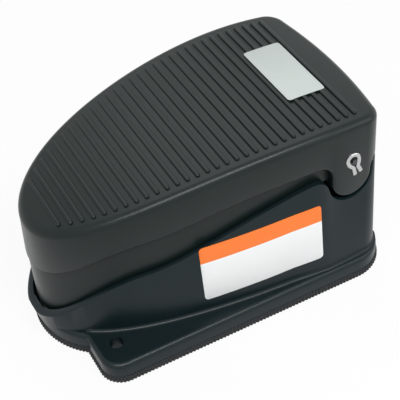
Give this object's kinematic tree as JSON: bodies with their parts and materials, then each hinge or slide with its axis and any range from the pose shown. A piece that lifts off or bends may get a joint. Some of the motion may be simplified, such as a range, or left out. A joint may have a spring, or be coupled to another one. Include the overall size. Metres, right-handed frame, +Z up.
{
  "type": "foot switch",
  "caption": "Treadle foot switch: a ribbed D-shaped pedal hinged over a flanged base that holds a snap-action switch, a return spring and a cord inlet.",
  "frame": {"origin": "centre of the footprint, on the underside of the rubber pad", "axes": "+X from the pedal's nose to its hinge, +Y across along the hinge pin, +Z up"},
  "size_m": [0.138, 0.0884, 0.0802],
  "materials": {
    "black_plastic": "fine moulded texture, satin",
    "black_plastic_base": "fine moulded texture, satin",
    "black_rubber": "moulded rubber",
    "zinc_plated_steel": "bright zinc plate",
    "oiled_steel": "black oxide, oiled",
    "spring_steel": "drawn wire",
    "natural_nylon": "moulded nylon",
    "phenolic": "moulded phenolic",
    "brass": "rolled brass",
    "green_screw": "green finish"
  },
  "bodies": {
    "base": {"hinge_bushes": "natural_nylon", "base_housing": "black_plastic_base", "rubber_pad": "black_rubber", "bottom_plate": "zinc_plated_steel", "plate_screws": "zinc_plated_steel", "inlet_bushing": "black_rubber", "ground_screw": "green_screw", "return_spring": "spring_steel", "spring_guide": "natural_nylon", "stop_bumpers": "black_rubber", "switch_bracket": "zinc_plated_steel", "bracket_screws": "zinc_plated_steel", "switch_case": "phenolic", "switch_cover": "phenolic", "switch_screws": "zinc_plated_steel", "switch_nuts": "zinc_plated_steel", "common_terminal": "brass", "closed_terminal": "brass", "open_terminal": "brass", "terminal_screws": "brass", "lever_pin": "zinc_plated_steel"},
    "pedal": {"pedal": "black_plastic", "hinge_pin": "oiled_steel", "pin_clips": "zinc_plated_steel", "striker_screw": "zinc_plated_steel", "striker_nut": "zinc_plated_steel"},
    "lever": {"switch_lever": "zinc_plated_steel", "roller_pin": "zinc_plated_steel"},
    "roller": {"lever_roller": "natural_nylon"},
    "plunger": {"switch_plunger": "natural_nylon"},
    "blade": {"contact_blade": "brass"}
  },
  "joints": [
    {"name": "pedal_hinge", "type": "hinge", "parent": "base", "child": "pedal", "pos_m": [0.0511, 0, 0.0611], "axis": [0, -1, 0], "range_deg": [0, 4.5], "stiffness_Nm_per_rad": 12, "springref_deg": -6.88, "deforming": ["return_spring"]},
    {"name": "lever_hinge", "type": "hinge", "parent": "base", "child": "lever", "pos_m": [0.03202, 0, 0.0365], "axis": [0, -1, 0], "range_deg": [0, 6.99]},
    {"name": "roller_spin", "type": "hinge", "parent": "lever", "child": "roller", "pos_m": [-0.00586, 0, 0.04754], "axis": [0, 1, 0], "continuous": true},
    {"name": "plunger_slide", "type": "slide", "parent": "base", "child": "plunger", "axis": [0, 0, -1], "range_m": [0, 0.0018]},
    {"name": "blade_tip", "type": "hinge", "parent": "base", "child": "blade", "pos_m": [-0.00628, 0, 0.02555], "axis": [0, 1, 0], "range_deg": [0, 4.2]}
  ],
  "couplings": [
    {"joint": "lever_hinge", "follows": "pedal_hinge", "ratio": 1.53},
    {"joint": "plunger_slide", "follows": "pedal_hinge", "m_per_rad": 0.0214},
    {"joint": "blade_tip", "follows": "pedal_hinge", "ratio": 0.911}
  ]
}
